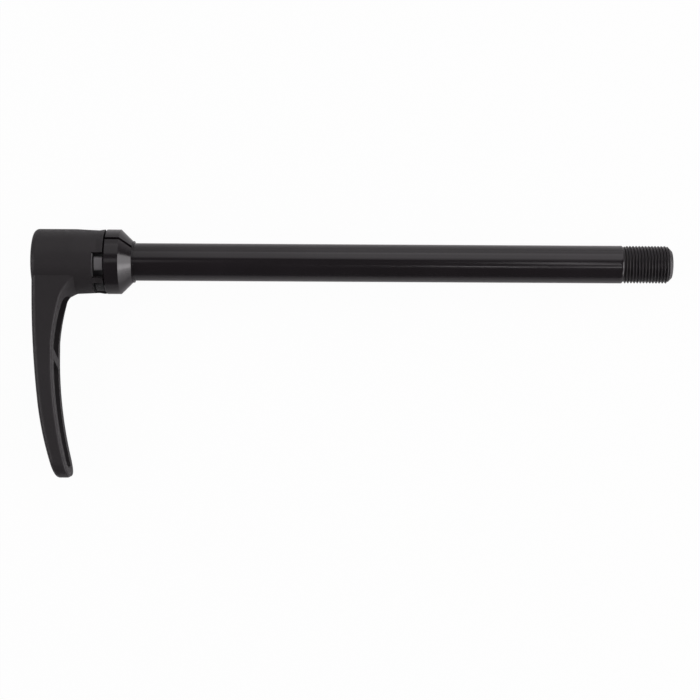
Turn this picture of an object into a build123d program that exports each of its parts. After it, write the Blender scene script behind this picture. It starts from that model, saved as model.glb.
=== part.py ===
from build123d import *
import os
from math import asin, degrees, hypot, radians, tan

# Bicycle thru axle with a pull-out ratchet lever, in millimetres.
# The axle lies along X with its threaded tip at +X and the lever arm hangs along -Y.
# X = 0 is the start of the clear shank, against the inboard face of the retaining ring.

# Shank, thread and bore; the thread is a plain cylinder at crest diameter behind a run-out groove
shank_diameter = 12.0
axle_length = 171.2
thread_length = 15.7
thread_diameter = 11.9
thread_runout = 0.9
thread_runout_depth = 0.55
tip_chamfer = 1.5
bore_diameter = 7.0
bore_mouth_chamfer = 0.6
drill_point_angle = 118.0

# Cone ring, the journal it turns on and the ring that keeps it there
journal_diameter = 12.4
ring_thickness = 0.45
ring_height = 0.65
ring_groove_depth = 0.45
ring_opening = 3.4
cone_length = 3.8
cone_nose_radius = 6.55
collar_radius = 10.3
collar_length = 4.6
collar_edge = 0.3
collar_slit_width = 1.0
collar_slit_angle = 46.6
flange_radius = 8.0
flange_thickness = 1.8
counterbore_depth = 4.2
washer_thickness = 0.5
running_clearance = 0.05

# Spline between the shaft and the drive insert
spline_teeth = 24
spline_root_radius = 5.6
spline_tip_radius = 7.0
spline_root_width = 1.1
spline_tip_width = 0.5
spline_engagement = 3.85
spline_clearance = 0.06
spline_lead = 0.3
spline_foot_sink = 0.2

# Lever boss
lever_gap = 0.3
boss_length = 22.65
boss_radius = 10.35
boss_face_rounding = 1.6
waist_radius = 10.0
waist_offset = 2.1
waist_taper_length = 7.2
lip_radius = 10.25
lip_width = 0.45
spring_well_radius = 7.2

# Slots round the front of the boss and the lugs that stand in them
slot_start_angle = 99.6
slot_spacing = 60.0
slot_angle = 48.2
slot_length = 3.45
lug_start_angle = 96.6
lug_length = 2.6
lug_width = 4.4
lug_radius = 9.6
lug_chamfer = 0.3
lug_shelf_angle = 46.0
lug_shelf_thickness = 0.35
insert_radius = 8.0
insert_web = 1.5

# Lever arm: its side profile, measured from the outer face of the boss, then its width
arm_reach = 68.85
arm_inset = 0.2
arm_knee_drop = 44.0
arm_knee_inset = 1.8
arm_tip_inset = 7.5
arm_tip_thickness = 4.45
arm_waist_drop = 30.5
arm_waist_depth = 6.75
arm_flare_radius = 52.0
underarm_radius = 7.0
arm_root_width = 18.6
arm_tip_width = 15.2
arm_tip_corner = 5.5
arm_back_rounding = 1.6
arm_rim_rounding = 0.8

# Pocket in the inner face of the arm, crossed by one slanted rib
pocket_floor = 2.2
pocket_start_drop = 11.1
pocket_start_width = 10.2
pocket_end_drop = 65.6
pocket_end_width = 6.4
pocket_corner = 1.6
rib_drop = 31.2
rib_thickness = 3.0
rib_slope = 21.0

# Tail of the shaft, return spring and the screw that holds them
tail_radius = 4.0
screw_head_gap = 0.4
seat_washer_thickness = 0.8
spring_wire = 0.9
spring_wire_sides = 8
spring_mean_radius = 5.7
spring_turns = 4.5
outer_washer_radius = 6.6
outer_washer_thickness = 1.0
screw_radius = 2.5
screw_depth = 10.8
screw_head_radius = 4.75
screw_head_height = 2.5
screw_socket_width = 3.0
screw_socket_depth = 1.6
screw_tip_chamfer = 0.5
tapped_depth = 12.0
seat_clearance = 0.02

# Cap over the screw
cap_radius = 7.8
cap_thickness = 1.5
cap_skirt_length = 2.0
cap_skirt_wall = 0.9
cap_edge = 0.3

# Small overlaps that let the blended bodies of the lever join cleanly
back_margin = 0.5
flare_overlap = 0.08
flare_sink = 0.35

# Stations along the axle, worked out from the sizes above
shank_radius = shank_diameter / 2
thread_start = axle_length - thread_length
thread_radius = thread_diameter / 2
thread_root_radius = thread_radius - thread_runout_depth
journal_radius = journal_diameter / 2
cone_nose = -ring_thickness
cone_base = cone_nose - cone_length
collar_back = cone_base - collar_length
counterbore_floor = collar_back + counterbore_depth
washer_front = counterbore_floor - running_clearance
flange_front = washer_front - washer_thickness
flange_back = flange_front - flange_thickness
boss_front = collar_back - lever_gap
boss_back = boss_front - boss_length
spline_end = boss_front - spline_engagement
web_front = spline_end - running_clearance
web_back = web_front - insert_web
spring_front = web_back - seat_washer_thickness
cap_front = boss_back + cap_thickness
screw_head_back = cap_front + screw_head_gap
outer_washer_back = screw_head_back + screw_head_height
tail_end = outer_washer_back + outer_washer_thickness
arm_start = boss_back + arm_inset
waist_x = boss_back + arm_waist_depth
flare_angle = degrees(
    asin(
        (arm_waist_drop - underarm_radius - boss_radius + flare_sink)
        / (arm_flare_radius - underarm_radius)
    )
)


def cylinder(start, end, radius, mode=Mode.ADD):
    """Add or cut a plain cylinder on the axle's axis between two stations."""
    with BuildSketch(Plane.YZ.offset(start)) as disc:
        Circle(radius)
    extrude(disc.sketch, amount=end - start, mode=mode)


def washer(start, end, hole_radius, outer_radius):
    """Add a flat washer on the axle's axis."""
    cylinder(start, end, outer_radius)
    cylinder(start, end, hole_radius, mode=Mode.SUBTRACT)


def spline_outline(allowance):
    """Draw the toothed spline section, grown all round by the allowance."""
    Circle(spline_root_radius + allowance)
    root_half = spline_root_width / 2 + allowance
    tip_half = spline_tip_width / 2 + allowance
    foot = spline_root_radius - spline_foot_sink
    tip = spline_tip_radius + allowance
    with PolarLocations(0, spline_teeth):
        Polygon((foot, -root_half), (tip, -tip_half), (tip, tip_half), (foot, root_half), align=None)


def wedges(start, angle, thickness, radius, mode=Mode.ADD):
    """Add or cut a wedge of one angle at each slot: two neighbours and the two opposite them."""
    with BuildSketch(Plane.YZ.offset(start)) as fan:
        with PolarLocations(0, 2, start_angle=slot_start_angle):
            with PolarLocations(0, 2, angular_range=slot_spacing, endpoint=True):
                half_width = radius * tan(radians(angle / 2))
                Polygon((0, 0), (radius, -half_width), (radius, half_width), align=None)
        Circle(radius, mode=Mode.INTERSECT)
    extrude(fan.sketch, amount=thickness, mode=mode)


def stands_proud(edge):
    """Tell whether an edge of the insert lies outside its round body."""
    return hypot(edge.center().Y, edge.center().Z) > insert_radius + lug_chamfer


# Shaft: bored tube with a threaded tip, a journal, a flange, a splined hub and a tapped tail
with BuildPart() as axle_shaft:
    cylinder(cone_nose, thread_start, shank_radius)
    cylinder(flange_front, cone_nose, journal_radius)
    cylinder(thread_start, thread_start + thread_runout, thread_root_radius)
    cylinder(thread_start + thread_runout, axle_length, thread_radius)
    chamfer(axle_shaft.edges().filter_by(GeomType.CIRCLE).sort_by(Axis.X)[-1], length=tip_chamfer)
    cylinder(flange_back, flange_front, flange_radius)
    cylinder(spline_end, flange_back, spline_root_radius)
    with BuildSketch(Plane.YZ.offset(spline_end)):
        spline_outline(0)
    extrude(amount=flange_back - spline_end)
    with BuildSketch(Plane.XY):
        with BuildLine():
            Polyline(
                (spline_end, spline_tip_radius - spline_lead),
                (spline_end, spline_tip_radius + spline_lead),
                (spline_end + 2 * spline_lead, spline_tip_radius + spline_lead),
                close=True,
            )
        make_face()
    revolve(axis=Axis.X, mode=Mode.SUBTRACT)
    cylinder(tail_end, spline_end, tail_radius)
    cylinder(tail_end, tail_end + tapped_depth, screw_radius + seat_clearance, mode=Mode.SUBTRACT)
    with BuildSketch(Plane.XY):
        with BuildLine():
            Polyline(
                (cone_nose, shank_radius - ring_groove_depth),
                (cone_nose, shank_radius + ring_height),
                (0, shank_radius + ring_height),
                (0, shank_radius - ring_groove_depth),
                close=True,
            )
        make_face()
    revolve(axis=Axis.X, mode=Mode.SUBTRACT)
    with BuildSketch(Plane.XY):
        with BuildLine():
            bore_radius = bore_diameter / 2
            drill_point = bore_radius / tan(radians(drill_point_angle / 2))
            Polyline(
                (counterbore_floor - drill_point, 0),
                (counterbore_floor, bore_radius),
                (axle_length - bore_mouth_chamfer, bore_radius),
                (axle_length, bore_radius + bore_mouth_chamfer),
                (axle_length, 0),
                close=True,
            )
        make_face()
    revolve(axis=Axis.X, mode=Mode.SUBTRACT)
axle_shaft.part.label = "axle_shaft"

# Cone ring: collar and conical seat, counterbored at the back for the flange and slit to spring on
with BuildPart() as cone_ring:
    with BuildSketch(Plane.XY):
        with BuildLine():
            Polyline(
                (cone_nose, journal_radius + running_clearance),
                (cone_nose, cone_nose_radius),
                (cone_base, collar_radius),
                (collar_back + collar_edge, collar_radius),
                (collar_back, collar_radius - collar_edge),
                (collar_back, flange_radius + lever_gap),
                (counterbore_floor, flange_radius + lever_gap),
                (counterbore_floor, journal_radius + running_clearance),
                close=True,
            )
        make_face()
    revolve(axis=Axis.X)
    with BuildSketch(Plane.YZ.offset(collar_back)):
        with PolarLocations(collar_radius, 1, start_angle=collar_slit_angle):
            Rectangle(2 * collar_radius, collar_slit_width)
    extrude(amount=cone_nose - collar_back, mode=Mode.SUBTRACT)
cone_ring.part.label = "cone_ring"

# Thrust washer between the flange and the floor of the counterbore
with BuildPart() as thrust_washer:
    washer(flange_front, washer_front, journal_radius + running_clearance, flange_radius)
thrust_washer.part.label = "thrust_washer"

# Retaining ring: an open spring ring in a groove at the nose of the cone
with BuildPart() as retaining_ring:
    washer(
        cone_nose + seat_clearance,
        -seat_clearance,
        shank_radius - ring_groove_depth + seat_clearance,
        shank_radius + ring_height,
    )
    with BuildSketch(Plane.YZ.offset(cone_nose)):
        with Locations((0, -shank_radius)):
            Rectangle(ring_opening, 4 * ring_height)
    extrude(amount=ring_thickness, mode=Mode.SUBTRACT)
retaining_ring.part.label = "retaining_ring"

# Drive insert: splined bush with lugs at the front and a web that the spring pushes
with BuildPart() as drive_insert:
    cylinder(web_back, boss_front, insert_radius)
    with BuildSketch(Plane.YZ.offset(boss_front - lug_length)):
        with PolarLocations(0, 2, start_angle=lug_start_angle):
            with PolarLocations(0, 2, angular_range=slot_spacing, endpoint=True):
                with Locations((lug_radius / 2, 0)):
                    Rectangle(lug_radius, lug_width)
        Circle(lug_radius, mode=Mode.INTERSECT)
    extrude(amount=lug_length)
    lug_corners = drive_insert.edges().filter_by(GeomType.LINE).filter_by(Axis.X)
    chamfer(lug_corners.filter_by(stands_proud), length=lug_chamfer)
    wedges(boss_front - slot_length + seat_clearance, lug_shelf_angle, lug_shelf_thickness, lug_radius)
    with BuildSketch(Plane.YZ.offset(web_front)):
        spline_outline(spline_clearance)
    extrude(amount=boss_front - web_front, mode=Mode.SUBTRACT)
    cylinder(web_back, web_front, tail_radius + running_clearance, mode=Mode.SUBTRACT)
drive_insert.part.label = "drive_insert"


def arm_back(start):
    """Draw the outer face of the arm from its X at the boss: straight, then two tangent bends."""
    straight = Line((start, 0), (start, -boss_radius - back_margin))
    knee = (start + arm_knee_inset, -arm_knee_drop)
    upper = TangentArc(straight @ 1, knee, tangent=straight % 1)
    return TangentArc(upper @ 1, (start + arm_tip_inset, -arm_reach), tangent=upper % 1)


def faces_outboard(face):
    """Tell whether a face of the arm looks away from the shank."""
    return face.normal_at().X < -0.5


def faces_inboard(face):
    """Tell whether a face of the arm looks towards the shank and lies below the boss."""
    return face.normal_at().X > 0.5 and face.center().Y < -boss_radius


def outline_edges(faces):
    """Pick the edges along the sides and tip of the arm, but not those across it."""
    below = faces.edges().filter_by(lambda edge: (edge @ 0.5).Y < -back_margin)
    tip_y = back_margin - arm_reach
    return below.filter_by(lambda edge: abs((edge @ 0.5).Z) > back_margin or (edge @ 0.5).Y < tip_y)


# Lever arm: side profile, widened near the boss by a revolved flare, cut to its front outline
with BuildPart() as arm:
    with BuildSketch(Plane.XY):
        with BuildLine():
            back_end = arm_back(arm_start) @ 1
            inner_tip = (back_end.X + arm_tip_thickness, -arm_reach)
            Line(back_end, inner_tip)
            TangentArc((waist_x, -arm_waist_drop), inner_tip, tangent=(0, -1))
            Polyline((waist_x, -arm_waist_drop), (waist_x, 0), (arm_start, 0))
        make_face()
    extrude(amount=boss_radius, both=True)
    with BuildSketch(Plane.XY):
        with BuildLine():
            flare = JernArc((waist_x - flare_overlap, arm_waist_drop), (0, -1), arm_flare_radius, flare_angle)
            blend = JernArc(flare @ 1, flare % 1, underarm_radius, 90 - flare_angle)
            flare_core = boss_back + arm_waist_depth / 2
            Polyline(blend @ 1, ((blend @ 1).X, 0), (flare_core, 0), (flare_core, arm_waist_drop), flare @ 0)
        make_face()
    revolve(axis=Axis.X)
    with BuildSketch(Plane.YZ.offset(boss_back)):
        Circle(arm_root_width / 2)
        corner_y = arm_tip_corner - arm_reach
        corner_z = arm_tip_width / 2 - arm_tip_corner
        with Locations((corner_y, -corner_z), (corner_y, corner_z)):
            Circle(arm_tip_corner)
        make_hull()
    extrude(amount=boss_length, mode=Mode.INTERSECT)
    fillet(outline_edges(arm.faces().filter_by(faces_outboard)), radius=arm_back_rounding)
    fillet(outline_edges(arm.faces().filter_by(faces_inboard)), radius=arm_rim_rounding)

# Pocket: follows the arm's outer face at one floor thickness and leaves the slanted rib
with BuildPart() as pocket:
    with BuildSketch(Plane.XY):
        with BuildLine():
            floor_end = arm_back(arm_start + pocket_floor) @ 1
            Polyline(floor_end, (boss_front, -arm_reach), (boss_front, 0), (arm_start + pocket_floor, 0))
        make_face()
    extrude(amount=boss_radius, both=True)
    with BuildSketch(Plane.YZ.offset(boss_back)):
        for corner_y, width in (
            (-pocket_start_drop - pocket_corner, pocket_start_width),
            (pocket_corner - pocket_end_drop, pocket_end_width),
        ):
            corner_z = width / 2 - pocket_corner
            with Locations((corner_y, -corner_z), (corner_y, corner_z)):
                Circle(pocket_corner)
        make_hull()
        with Locations((-rib_drop, 0)):
            Rectangle(rib_thickness, 2 * pocket_start_width, rotation=-rib_slope, mode=Mode.SUBTRACT)
    extrude(amount=boss_length, mode=Mode.INTERSECT)

# Lever: boss and arm moulded in one, cored for the pocket, the insert, the spring and the cap
with BuildPart() as lever:
    add(arm.part)
    with BuildSketch(Plane.XY):
        with BuildLine():
            rounding = boss_face_rounding
            corner = (boss_back + rounding, boss_radius)
            Polyline(
                corner,
                (boss_front - waist_offset - waist_taper_length, boss_radius),
                (boss_front - waist_offset, waist_radius),
                (boss_front - lip_width, lip_radius),
                (boss_front, lip_radius),
                (boss_front, 0),
                (boss_back, 0),
                (boss_back, boss_radius - rounding),
            )
            TangentArc((boss_back, boss_radius - rounding), corner, tangent=(0, 1))
        make_face()
    revolve(axis=Axis.X)
    add(pocket.part, mode=Mode.SUBTRACT)
    cylinder(web_back - seat_clearance, boss_front, insert_radius + seat_clearance, mode=Mode.SUBTRACT)
    cylinder(boss_back, web_back, spring_well_radius, mode=Mode.SUBTRACT)
    cylinder(boss_back, cap_front, cap_radius + seat_clearance, mode=Mode.SUBTRACT)
    wedges(boss_front - slot_length, slot_angle, slot_length, 2 * boss_radius, mode=Mode.SUBTRACT)
lever.part.label = "lever"

# Washer that the web of the insert pushes against the spring
with BuildPart() as spring_seat:
    washer(spring_front, web_back, tail_radius + running_clearance, spring_mean_radius + spring_wire)
spring_seat.part.label = "spring_seat"

# Washer clamped between the screw head and the end of the tail
with BuildPart() as screw_washer:
    washer(outer_washer_back, tail_end, screw_radius + seat_clearance, outer_washer_radius)
    chamfer(screw_washer.edges().filter_by(GeomType.CIRCLE).sort_by(SortBy.RADIUS)[-2:], length=cap_edge / 2)
screw_washer.part.label = "screw_washer"

# Return spring: open coils with both ends ground flat
with BuildPart() as return_spring:
    spring_length = spring_front - tail_end
    with BuildLine():
        coil = Helix(
            pitch=spring_length / spring_turns,
            height=spring_length,
            radius=spring_mean_radius,
            center=(tail_end, 0, 0),
            direction=(1, 0, 0),
        )
    with BuildSketch(Plane(origin=coil @ 0, x_dir=(0, 1, 0), z_dir=coil % 0)):
        RegularPolygon(spring_wire / 2, spring_wire_sides)
    sweep(is_frenet=True)
    with BuildSketch(Plane.YZ.offset(tail_end)):
        Circle(spring_well_radius)
    extrude(amount=spring_length, mode=Mode.INTERSECT)
return_spring.part.label = "return_spring"

# Button-head socket screw in the tapped tail
with BuildPart() as retaining_screw:
    cylinder(outer_washer_back, tail_end + screw_depth, screw_radius)
    screw_tip = retaining_screw.edges().filter_by(GeomType.CIRCLE).sort_by(Axis.X)[-1]
    chamfer(screw_tip, length=screw_tip_chamfer)
    with BuildSketch(Plane.XY):
        with BuildLine():
            crown = (screw_head_back, screw_head_radius / 2)
            rim = (outer_washer_back, screw_head_radius)
            Polyline(crown, (screw_head_back, 0), (outer_washer_back, 0), rim)
            TangentArc(rim, crown, tangent=(-1, 0))
        make_face()
    revolve(axis=Axis.X)
    with BuildSketch(Plane.YZ.offset(screw_head_back)):
        RegularPolygon(screw_socket_width / 2, 6, major_radius=False)
    extrude(amount=screw_socket_depth, mode=Mode.SUBTRACT)
retaining_screw.part.label = "retaining_screw"

# Plain cap pressed into the outer face of the boss
with BuildPart() as end_cap:
    cylinder(boss_back, cap_front, cap_radius)
    chamfer(end_cap.edges().filter_by(GeomType.CIRCLE).sort_by(Axis.X)[0], length=cap_edge)
    skirt_radius = spring_well_radius - seat_clearance
    with BuildSketch(Plane.YZ.offset(cap_front)):
        Circle(skirt_radius)
        Circle(skirt_radius - cap_skirt_wall, mode=Mode.SUBTRACT)
    extrude(amount=cap_skirt_length)
end_cap.part.label = "end_cap"

os.makedirs("parts", exist_ok=True)
pieces = [
    axle_shaft,
    cone_ring,
    thrust_washer,
    retaining_ring,
    lever,
    drive_insert,
    spring_seat,
    return_spring,
    screw_washer,
    retaining_screw,
    end_cap,
]
for piece in pieces:
    export_step(piece.part, f"parts/{piece.part.label}.step")
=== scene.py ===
import math

import bmesh
import bpy
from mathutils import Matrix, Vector


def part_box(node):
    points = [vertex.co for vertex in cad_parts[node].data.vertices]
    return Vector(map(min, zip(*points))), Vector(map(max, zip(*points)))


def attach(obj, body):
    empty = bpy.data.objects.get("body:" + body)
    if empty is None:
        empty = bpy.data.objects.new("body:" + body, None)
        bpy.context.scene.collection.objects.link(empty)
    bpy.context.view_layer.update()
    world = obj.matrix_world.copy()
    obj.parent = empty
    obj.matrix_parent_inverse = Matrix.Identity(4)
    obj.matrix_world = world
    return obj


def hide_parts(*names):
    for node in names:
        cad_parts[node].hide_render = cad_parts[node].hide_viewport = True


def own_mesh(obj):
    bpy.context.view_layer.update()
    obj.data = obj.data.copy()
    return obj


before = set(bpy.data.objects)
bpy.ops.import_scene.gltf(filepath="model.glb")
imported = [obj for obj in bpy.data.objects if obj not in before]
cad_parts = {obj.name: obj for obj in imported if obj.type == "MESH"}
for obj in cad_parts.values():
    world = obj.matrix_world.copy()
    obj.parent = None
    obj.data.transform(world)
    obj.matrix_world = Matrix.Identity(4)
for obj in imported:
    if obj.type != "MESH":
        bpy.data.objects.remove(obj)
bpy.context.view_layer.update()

MM = 0.001

# Shank and tip of the shaft: sizes of the solid model
SHANK_RADIUS = 6.0 * MM
THREAD_START = 155.5 * MM
AXLE_END = 171.2 * MM
THREAD_RADIUS = 5.95 * MM
TIP_CHAMFER = 1.5 * MM
BORE_RADIUS = 3.5 * MM
BORE_CHAMFER = 0.6 * MM

# Helical thread of the usual profile, starting nearer to the shank than the solid model's plain cylinder
THREAD_PITCH = 1.0 * MM
THREAD_RUNOUT = 0.4 * MM
THREAD_CREST = 1 / 8
THREAD_FLANK = 5 / 16 * THREAD_PITCH
THREAD_SLOPE = math.radians(60)
THREAD_DEPTH = THREAD_FLANK * math.tan(THREAD_SLOPE)
THREAD_ROOT = THREAD_RADIUS - THREAD_DEPTH
SHANK_CHAMFER = 0.2 * MM

# Mesh of the threaded tip: where it takes over from the solid, steps in one pitch, segments in one turn
TIP_CUT = THREAD_START - THREAD_PITCH
THREAD_STEPS = 16
THREAD_SEGMENTS = 128
CUT_REACH = 1e-8
WELD = 0.001 * MM

# Camera: straight above the axle, the lever hanging down in the picture
CAMERA_OVER = (68.85 * MM, -27.75 * MM)
CAMERA_HEIGHT = 543.0 * MM
CAMERA_ROLL = math.radians(0.32)
CAMERA_CLIP = 0.01
FOCAL_PIXELS = 1700
PICTURE_PIXELS = 700
SENSOR = 36.0

# Half the width of the arm's end, which rests on the floor
ARM_END_HALF_WIDTH = 7.6 * MM

# Floor: half its side in metres, its own colour, the share of plain white that the camera sees, its sheen
FLOOR_HALF = 3.0
FLOOR_COLOUR = (0.85, 0.85, 0.85)
FLOOR_WHITENESS = 0.965
FLOOR_ROUGHNESS = 0.1
FLOOR_IOR = 1.6

# Dim room, the lamps' tint, and the point that most of them aim at
ROOM_COLOUR = (1.0, 0.98, 1.0)
ROOM_RADIANCE = 0.12
LAMP_TINT = (1.0, 0.965, 0.99)
AXLE_MIDDLE = Vector((0.07, 0, 0))

# Soft boxes in metres: name, place, width, height, radiance
LAMPS = (
    ("right_window", (0.83, -0.2, 0.21), 1.0, 0.44, 3.2),
    ("right_glare", (0.81, -0.155, 0.08), 0.17, 0.09, 2.8),
    ("right_box", (0.95, -0.1, 0.64), 0.6, 0.5, 3.0),
    ("left_box", (-0.83, -0.1, 0.62), 0.6, 0.6, 3.5),
    ("near_strip", (0.36, 0.08, 1.5), 0.36, 0.075, 3.3),
    ("far_strip", (0.36, -0.45, 1.5), 0.36, 0.12, 5.0),
    ("left_strip", (-0.28, 0.06, 1.5), 0.34, 0.2, 0.8),
)

# Long soft boxes beside the axle: name, place across and up, height, share of the radiance
BACK_BOXES = (
    ("high_box", 0.715, 0.68, 0.66, 0.97),
    ("low_box", 0.94, 0.2, 0.56, 0.7),
)

# They brighten towards the tip in steps: start along the axle, and radiance added from there to the end
BACK_STEPS = ((-1.05, 0.42), (-0.2, 0.18), (-0.09, 0.22), (0.03, 0.24))
BACK_END = 1.15

# How far past its own middle each of them aims
BACK_TURN = 0.12

# Middle part of a noise's values, where nearly all of them lie
NOISE_LOW = 0.3
NOISE_HIGH = 0.7

# Worn edges: agreement of bevelled and plain normals at full wear and at none, and the wear's patches
EDGE_WORN = 0.75
EDGE_WHOLE = 0.97
EDGE_SAMPLES = 6
WEAR_SCALE = 900
WEAR_LEAST = 0.2
WEAR_PATCHES = (0.4, 0.65)

# Black anodised aluminium: two shades, worn edges, turning marks, a duller thread
GLOSS_SHADES = ((0.0078, 0.0057, 0.007), (0.0108, 0.0082, 0.01))
GLOSS_WORN = (0.05, 0.048, 0.052)
GLOSS_EDGE = 0.12 * MM
GLOSS_SCALE = 60
GLOSS_ROUGHNESS = (0.13, 0.2)
GLOSS_SPECULAR = 0.55
TURNING_SCALE = 900
TURNING_STRETCH = (4, 0.02, 0.02)
TURNING_HEIGHT = 0.0003 * MM
THREAD_DULLNESS = 0.2
THREAD_FADE = 0.1 * MM

# Black polymer: two shades, worn edges, the mould's grain on broader unevenness
POLYMER_SHADES = ((0.0215, 0.0192, 0.0204), (0.0265, 0.0242, 0.0255))
POLYMER_WORN = (0.045, 0.043, 0.045)
POLYMER_EDGE = 0.2 * MM
POLYMER_ROUGHNESS = (0.42, 0.52)
POLYMER_SPECULAR = 0.3
FLOW_SCALE = 45
BROAD_SCALE = 700
BROAD_HEIGHT = 0.004 * MM
GRAIN_SCALE = 5200
GRAIN_HEIGHT = 0.006 * MM

# Satin metals of the inner pieces: two shades each, roughness and its spread
STEEL_SHADES = ((0.4, 0.39, 0.4), (0.5, 0.49, 0.5))
STEEL_ROUGHNESS = 0.38
BLACKENED_SHADES = ((0.018, 0.018, 0.019), (0.03, 0.03, 0.031))
BLACKENED_ROUGHNESS = 0.45
SATIN_SPREAD = 0.2
SATIN_SCALE = 400
SATIN_HEIGHT = 0.002 * MM

# Drive insert: dark blackened steel that also stands for painted shade in its slots, with bare, lighter
# metal as a painted highlight on the outer faces of two opposite lugs, those facing up and down
INSERT_BLACKENED_AND_SHADE = ((0.012, 0.012, 0.013), (0.022, 0.022, 0.023))
LUG_BARE_AND_HIGHLIGHT = (0.21, 0.205, 0.21)
INSERT_ROUGHNESS = (0.45, 0.6)
INSERT_SCALE = 1500
INSERT_STRETCH = (1, 0.3, 0.3)
INSERT_HEIGHT = 0.003 * MM
LIT_LUG_RADIUS = 9.3 * MM
LIT_LUG_HEIGHT = 7.4 * MM
LUG_RADIUS_FADE = 0.98
LUG_HEIGHT_START = 0.9
LUG_HEIGHT_FULL = 1.1


def new_material(name):
    """Start a node material and return it with its tree, shader and a texture coordinate."""
    material = bpy.data.materials.new(name)
    material.use_nodes = True
    tree = material.node_tree
    shader = tree.nodes["Principled BSDF"]
    place = tree.nodes.new("ShaderNodeTexCoord")
    return material, tree, shader, place


def noise(tree, place, scale, detail=3.0, stretch=(1, 1, 1)):
    """Add a noise texture in object space, stretched along the axes."""
    mapping = tree.nodes.new("ShaderNodeMapping")
    mapping.inputs["Scale"].default_value = stretch
    texture = tree.nodes.new("ShaderNodeTexNoise")
    texture.inputs["Scale"].default_value = scale
    texture.inputs["Detail"].default_value = detail
    tree.links.new(place.outputs["Object"], mapping.inputs["Vector"])
    tree.links.new(mapping.outputs["Vector"], texture.inputs["Vector"])
    return texture.outputs["Fac"]


def ramp(tree, value, low, high, start=NOISE_LOW, end=NOISE_HIGH):
    """Map the values from start to end to those from low to high."""
    node = tree.nodes.new("ShaderNodeMapRange")
    node.inputs["From Min"].default_value = start
    node.inputs["From Max"].default_value = end
    node.inputs["To Min"].default_value = low
    node.inputs["To Max"].default_value = high
    tree.links.new(value, node.inputs["Value"])
    return node.outputs["Result"]


def calculate(tree, operation, first, second):
    """Add or multiply two values."""
    node = tree.nodes.new("ShaderNodeMath")
    node.operation = operation
    tree.links.new(first, node.inputs[0])
    tree.links.new(second, node.inputs[1])
    return node.outputs["Value"]


def split(tree, place):
    """Split the place in object space into X, Y and Z."""
    parts = tree.nodes.new("ShaderNodeSeparateXYZ")
    tree.links.new(place.outputs["Object"], parts.inputs["Vector"])
    return parts.outputs


def blend_colours(tree, value, first, second):
    """Mix two colours, each a plain colour or the output of a node, by a value from 0 to 1."""
    node = tree.nodes.new("ShaderNodeMix")
    node.data_type = "RGBA"
    for name, colour in (("A", first), ("B", second)):
        if isinstance(colour, tuple):
            node.inputs[name].default_value = (*colour, 1)
        else:
            tree.links.new(colour, node.inputs[name])
    tree.links.new(value, node.inputs["Factor"])
    return node.outputs["Result"]


def blend_shaders(tree, value, first, second):
    """Mix two shaders by a value from 0 to 1."""
    node = tree.nodes.new("ShaderNodeMixShader")
    tree.links.new(value, node.inputs["Fac"])
    tree.links.new(first, node.inputs[1])
    tree.links.new(second, node.inputs[2])
    return node.outputs["Shader"]


def bump(tree, shader, value, height, below=None):
    """Add a bump of a real height, on top of another bump if one is given."""
    node = tree.nodes.new("ShaderNodeBump")
    node.inputs["Distance"].default_value = height
    node.inputs["Strength"].default_value = 1.0
    tree.links.new(value, node.inputs["Height"])
    if below:
        tree.links.new(below, node.inputs["Normal"])
    tree.links.new(node.outputs["Normal"], shader.inputs["Normal"])
    return node.outputs["Normal"]


def worn_edges(tree, place, width):
    """A value that rises from 0 to 1 on edges, broken up by a noise as wear is."""
    bevel = tree.nodes.new("ShaderNodeBevel")
    bevel.samples = EDGE_SAMPLES
    bevel.inputs["Radius"].default_value = width
    geometry = tree.nodes.new("ShaderNodeNewGeometry")
    turn = tree.nodes.new("ShaderNodeVectorMath")
    turn.operation = "DOT_PRODUCT"
    tree.links.new(bevel.outputs["Normal"], turn.inputs[0])
    tree.links.new(geometry.outputs["Normal"], turn.inputs[1])
    edge = ramp(tree, turn.outputs["Value"], 1, 0, EDGE_WORN, EDGE_WHOLE)
    patches = ramp(tree, noise(tree, place, WEAR_SCALE), WEAR_LEAST, 1, *WEAR_PATCHES)
    return calculate(tree, "MULTIPLY", edge, patches)


def gloss_black(threaded=False):
    """Black anodised aluminium with faint turning marks, duller on the thread if it has one."""
    material, tree, shader, place = new_material("gloss_black_anodised")
    patches = ramp(tree, noise(tree, place, GLOSS_SCALE), 0, 1)
    colour = blend_colours(tree, patches, *GLOSS_SHADES)
    worn = worn_edges(tree, place, GLOSS_EDGE)
    tree.links.new(blend_colours(tree, worn, colour, GLOSS_WORN), shader.inputs["Base Color"])
    turning = noise(tree, place, TURNING_SCALE, detail=2, stretch=TURNING_STRETCH)
    roughness = ramp(tree, turning, *GLOSS_ROUGHNESS)
    if threaded:
        along = split(tree, place)["X"]
        dull = ramp(tree, along, 0, THREAD_DULLNESS, THREAD_START, THREAD_START + THREAD_FADE)
        roughness = calculate(tree, "ADD", roughness, dull)
    tree.links.new(roughness, shader.inputs["Roughness"])
    bump(tree, shader, turning, TURNING_HEIGHT)
    shader.inputs["Specular IOR Level"].default_value = GLOSS_SPECULAR
    return material


def lever_polymer():
    """Glass-filled black polymer with the fine spark-eroded grain of its mould."""
    material, tree, shader, place = new_material("matte_black_polymer")
    flow = ramp(tree, noise(tree, place, FLOW_SCALE, detail=4), 0, 1)
    colour = blend_colours(tree, flow, *POLYMER_SHADES)
    worn = worn_edges(tree, place, POLYMER_EDGE)
    tree.links.new(blend_colours(tree, worn, colour, POLYMER_WORN), shader.inputs["Base Color"])
    grain = noise(tree, place, GRAIN_SCALE, detail=2)
    broad = noise(tree, place, BROAD_SCALE, detail=2)
    tree.links.new(ramp(tree, broad, *POLYMER_ROUGHNESS), shader.inputs["Roughness"])
    shader.inputs["Specular IOR Level"].default_value = POLYMER_SPECULAR
    coarse = bump(tree, shader, broad, BROAD_HEIGHT)
    bump(tree, shader, grain, GRAIN_HEIGHT, below=coarse)
    return material


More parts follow.
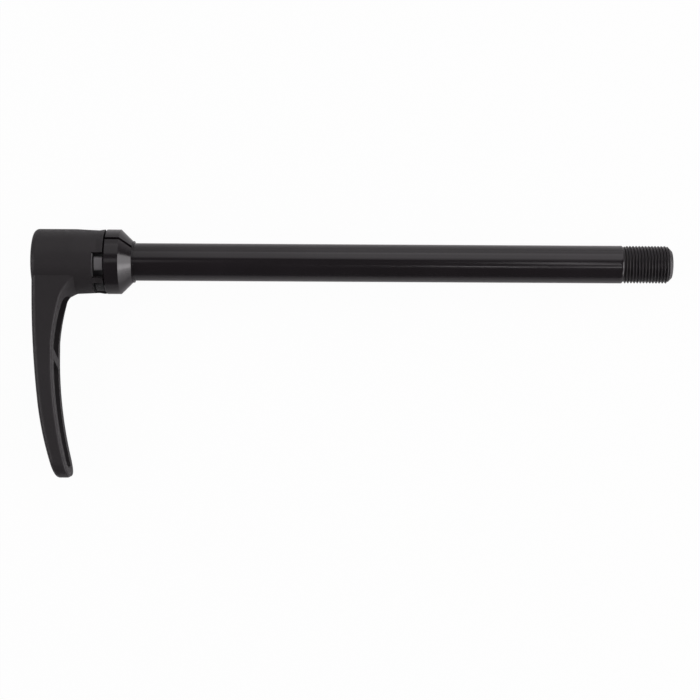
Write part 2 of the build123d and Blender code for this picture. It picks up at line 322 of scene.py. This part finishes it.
def satin_metal(name, shades, roughness):
    """Bare or blackened metal with a satin finish."""
    material, tree, shader, place = new_material(name)
    patches = noise(tree, place, SATIN_SCALE)
    colour = blend_colours(tree, ramp(tree, patches, 0, 1), *shades)
    tree.links.new(colour, shader.inputs["Base Color"])
    rough = ramp(tree, patches, roughness * (1 - SATIN_SPREAD), roughness * (1 + SATIN_SPREAD))
    tree.links.new(rough, shader.inputs["Roughness"])
    bump(tree, shader, patches, SATIN_HEIGHT)
    shader.inputs["Metallic"].default_value = 1.0
    return material


def insert_metal_with_painted_light():
    """Blackened steel, dark also as painted shade in the slots, with the outer faces of the two opposite
    lugs facing up and down bare and bright as a painted highlight.
    """
    material, tree, shader, place = new_material("blackened_steel_with_painted_light")
    # Painted light: faces beyond the lug radius that point up or down get bright bare metal as a painted
    # highlight, all else stays dark as painted shade
    parts = split(tree, place)
    across = calculate(tree, "MULTIPLY", parts["Y"], parts["Y"])
    up = calculate(tree, "MULTIPLY", parts["Z"], parts["Z"])
    radius = LIT_LUG_RADIUS**2
    height = LIT_LUG_HEIGHT**2
    outside = ramp(tree, calculate(tree, "ADD", across, up), 0, 1, radius * LUG_RADIUS_FADE, radius)
    upright = ramp(tree, up, 0, 1, height * LUG_HEIGHT_START, height * LUG_HEIGHT_FULL)
    lit_bare_faces = calculate(tree, "MULTIPLY", outside, upright)
    patches = noise(tree, place, INSERT_SCALE, stretch=INSERT_STRETCH)
    dark_and_shade = blend_colours(tree, ramp(tree, patches, 0, 1), *INSERT_BLACKENED_AND_SHADE)
    tree.links.new(blend_colours(tree, lit_bare_faces, dark_and_shade, LUG_BARE_AND_HIGHLIGHT), shader.inputs["Base Color"])
    tree.links.new(lit_bare_faces, shader.inputs["Metallic"])
    tree.links.new(ramp(tree, patches, *INSERT_ROUGHNESS), shader.inputs["Roughness"])
    bump(tree, shader, patches, INSERT_HEIGHT)
    return material


def dress(node, material):
    """Give a node or a piece its finish in place of the one that it came with."""
    bpy.data.objects[node].data.materials.clear()
    bpy.data.objects[node].data.materials.append(material)


def copy_solid(node, name, material):
    """Copy a solid's mesh to a new piece with a finish of its own."""
    piece = bpy.data.objects.new(name, bpy.data.objects[node].data.copy())
    bpy.context.scene.collection.objects.link(piece)
    dress(name, material)
    return piece


def thread_radius(phase, along):
    """Radius of the thread at a phase from 0 to 1 along one pitch and at a distance along the axle."""
    slope = THREAD_DEPTH / THREAD_FLANK
    fall = max(abs(phase - 0.5) - THREAD_CREST / 2, 0) * THREAD_PITCH * slope
    lead_in = THREAD_ROOT + max(along - THREAD_START - THREAD_RUNOUT, 0) * slope
    tip = AXLE_END - along + THREAD_RADIUS - TIP_CHAMFER
    return min(max(THREAD_RADIUS - fall, THREAD_ROOT), lead_in, tip)


def thread_profile():
    """List the rings from the shank over the thread to the bore, with one (along, radius) per segment."""

    def ring(along, radius):
        return [(along, radius)] * (THREAD_SEGMENTS + 1)

    rows = [ring(TIP_CUT, SHANK_RADIUS), ring(THREAD_START - SHANK_CHAMFER, SHANK_RADIUS)]
    rows += [ring(THREAD_START, SHANK_RADIUS - SHANK_CHAMFER), ring(THREAD_START, THREAD_ROOT)]
    turns = math.ceil((AXLE_END - THREAD_START) / THREAD_PITCH) + 1
    for step in range(turns * THREAD_STEPS):
        phase = step % THREAD_STEPS / THREAD_STEPS
        row = []
        for segment in range(THREAD_SEGMENTS + 1):
            turned = step / THREAD_STEPS + segment / THREAD_SEGMENTS - 1
            along = min(max(THREAD_START + turned * THREAD_PITCH, THREAD_START), AXLE_END)
            row.append((along, thread_radius(phase, along)))
        rows.append(row)
    rows += [ring(AXLE_END, THREAD_RADIUS - TIP_CHAMFER), ring(AXLE_END, BORE_RADIUS + BORE_CHAMFER)]
    rows += [ring(AXLE_END - BORE_CHAMFER, BORE_RADIUS), ring(TIP_CUT, BORE_RADIUS)]
    return rows


def threaded_shaft():
    """Copy the shaft and give it a tip with a right-hand helical thread in place of the plain cylinder."""
    shaft = copy_solid("axle_shaft", "threaded_shaft", gloss_black(threaded=True))
    mesh = bmesh.new()
    mesh.from_mesh(shaft.data)
    bmesh.ops.bisect_plane(
        mesh,
        geom=[*mesh.verts, *mesh.edges, *mesh.faces],
        dist=CUT_REACH,
        plane_co=(TIP_CUT, 0, 0),
        plane_no=(1, 0, 0),
        clear_outer=True,
    )
    rings = []
    for row in thread_profile():
        ring = []
        for segment, (along, radius) in enumerate(row):
            angle = 2 * math.pi * segment / THREAD_SEGMENTS
            ring.append(mesh.verts.new((along, radius * math.cos(angle), radius * math.sin(angle))))
        rings.append(ring)
    for low, high in zip(rings, rings[1:]):
        for segment in range(THREAD_SEGMENTS):
            face = mesh.faces.new((low[segment], low[segment + 1], high[segment + 1], high[segment]))
            face.smooth = True
    bmesh.ops.remove_doubles(mesh, verts=[vert for ring in rings for vert in ring], dist=WELD)
    tip = [face for face in mesh.faces if face.calc_center_median().x > TIP_CUT]
    bmesh.ops.recalc_face_normals(mesh, faces=tip)
    mesh.to_mesh(shaft.data)
    mesh.free()
    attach(shaft, "axle")
    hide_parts("axle_shaft")


def compressing_spring(material):
    """Copy the return spring to a piece on the axle, with a mesh of its own."""
    spring = copy_solid("return_spring", "compressing_spring", material)
    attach(spring, "axle")
    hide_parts("return_spring")
    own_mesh(spring)


def resting_plane():
    """Find how the object lies: on its boss, the end of its arm and its threaded tip."""
    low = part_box("lever")[0]
    along = (-SHANK_RADIUS - low.z) / (AXLE_END - low.x)
    across = (-ARM_END_HALF_WIDTH - low.z) / low.y
    points = [vertex.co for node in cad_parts.values() for vertex in node.data.vertices]
    lowest = min(point.z - along * point.x - across * point.y for point in points)
    return along, across, lowest


def floor():
    """Floor that the object lies on: almost white to the camera, pale and a little shiny in reflections."""
    along, across, lowest = resting_plane()
    corners = [
        (-FLOOR_HALF, -FLOOR_HALF),
        (FLOOR_HALF, -FLOOR_HALF),
        (FLOOR_HALF, FLOOR_HALF),
        (-FLOOR_HALF, FLOOR_HALF),
    ]
    mesh = bpy.data.meshes.new("floor")
    mesh.from_pydata([(x, y, lowest + along * x + across * y) for x, y in corners], [], [(0, 1, 2, 3)])
    plane = bpy.data.objects.new("floor", mesh)
    bpy.context.scene.collection.objects.link(plane)
    material, tree, shader, _ = new_material("pale_floor")
    shader.inputs["Base Color"].default_value = (*FLOOR_COLOUR, 1)
    shader.inputs["Roughness"].default_value = 1.0
    shader.inputs["Specular IOR Level"].default_value = 0.0
    lit = shader.outputs["BSDF"]
    path = tree.nodes.new("ShaderNodeLightPath")
    share = tree.nodes.new("ShaderNodeMath")
    share.operation = "MULTIPLY"
    share.inputs[1].default_value = FLOOR_WHITENESS
    tree.links.new(path.outputs["Is Camera Ray"], share.inputs[0])
    white = tree.nodes.new("ShaderNodeEmission")
    white.inputs["Strength"].default_value = 1.0
    seen = blend_shaders(tree, share.outputs["Value"], lit, white.outputs["Emission"])
    fresnel = tree.nodes.new("ShaderNodeFresnel")
    fresnel.inputs["IOR"].default_value = FLOOR_IOR
    sheen = tree.nodes.new("ShaderNodeBsdfGlossy")
    sheen.inputs["Roughness"].default_value = FLOOR_ROUGHNESS
    mirrored = blend_shaders(tree, fresnel.outputs["Fac"], lit, sheen.outputs["BSDF"])
    surface = blend_shaders(tree, path.outputs["Is Glossy Ray"], seen, mirrored)
    tree.links.new(surface, tree.nodes["Material Output"].inputs["Surface"])
    mesh.materials.append(material)


def softbox(name, place, width, height, radiance, aim=AXLE_MIDDLE):
    """Add a rectangular area lamp of one radiance, aimed at a point."""
    data = bpy.data.lights.new(name, "AREA")
    data.shape = "RECTANGLE"
    data.size = width
    data.size_y = height
    data.energy = radiance * math.pi * width * height
    data.color = LAMP_TINT
    lamp = bpy.data.objects.new(name, data)
    lamp.location = place
    lamp.rotation_mode = "QUATERNION"
    lamp.rotation_quaternion = (Vector(aim) - Vector(place)).to_track_quat("-Z", "Y")
    bpy.context.scene.collection.objects.link(lamp)


def studio():
    """Dim room with soft boxes beside the axle, at both its ends and overhead."""
    world = bpy.context.scene.world or bpy.data.worlds.new("studio")
    bpy.context.scene.world = world
    world.use_nodes = True
    tree = world.node_tree
    tree.nodes.clear()
    output = tree.nodes.new("ShaderNodeOutputWorld")
    room = tree.nodes.new("ShaderNodeBackground")
    room.inputs["Color"].default_value = (*ROOM_COLOUR, 1)
    room.inputs["Strength"].default_value = ROOM_RADIANCE
    tree.links.new(room.outputs["Background"], output.inputs["Surface"])
    for start, radiance in BACK_STEPS:
        middle = (BACK_END + start) / 2
        for name, across, up, height, share in BACK_BOXES:
            aim = (middle + BACK_TURN, 0, 0)
            softbox(name, (middle, across, up), BACK_END - start, height, radiance * share, aim)
    for lamp in LAMPS:
        softbox(*lamp)


def camera():
    """Camera above the axle at the photograph's distance and angle."""
    data = bpy.data.cameras.new("camera")
    data.sensor_width = SENSOR
    data.lens = FOCAL_PIXELS / PICTURE_PIXELS * SENSOR
    data.clip_start = CAMERA_CLIP
    eye = bpy.data.objects.new("camera", data)
    eye.location = (*CAMERA_OVER, CAMERA_HEIGHT)
    eye.rotation_euler = (0, 0, CAMERA_ROLL)
    bpy.context.scene.collection.objects.link(eye)
    bpy.context.scene.camera = eye


camera()
floor()
studio()
bpy.context.scene.view_settings.view_transform = "Standard"

threaded_shaft()
steel = satin_metal("satin_steel", STEEL_SHADES, STEEL_ROUGHNESS)
blackened = satin_metal("blackened_steel", BLACKENED_SHADES, BLACKENED_ROUGHNESS)
dress("cone_ring", gloss_black())
dress("retaining_ring", gloss_black())
dress("lever", lever_polymer())
dress("end_cap", lever_polymer())
dress("drive_insert", insert_metal_with_painted_light())
compressing_spring(steel)
for node in ("thrust_washer", "spring_seat", "screw_washer"):
    dress(node, steel)
dress("retaining_screw", blackened)
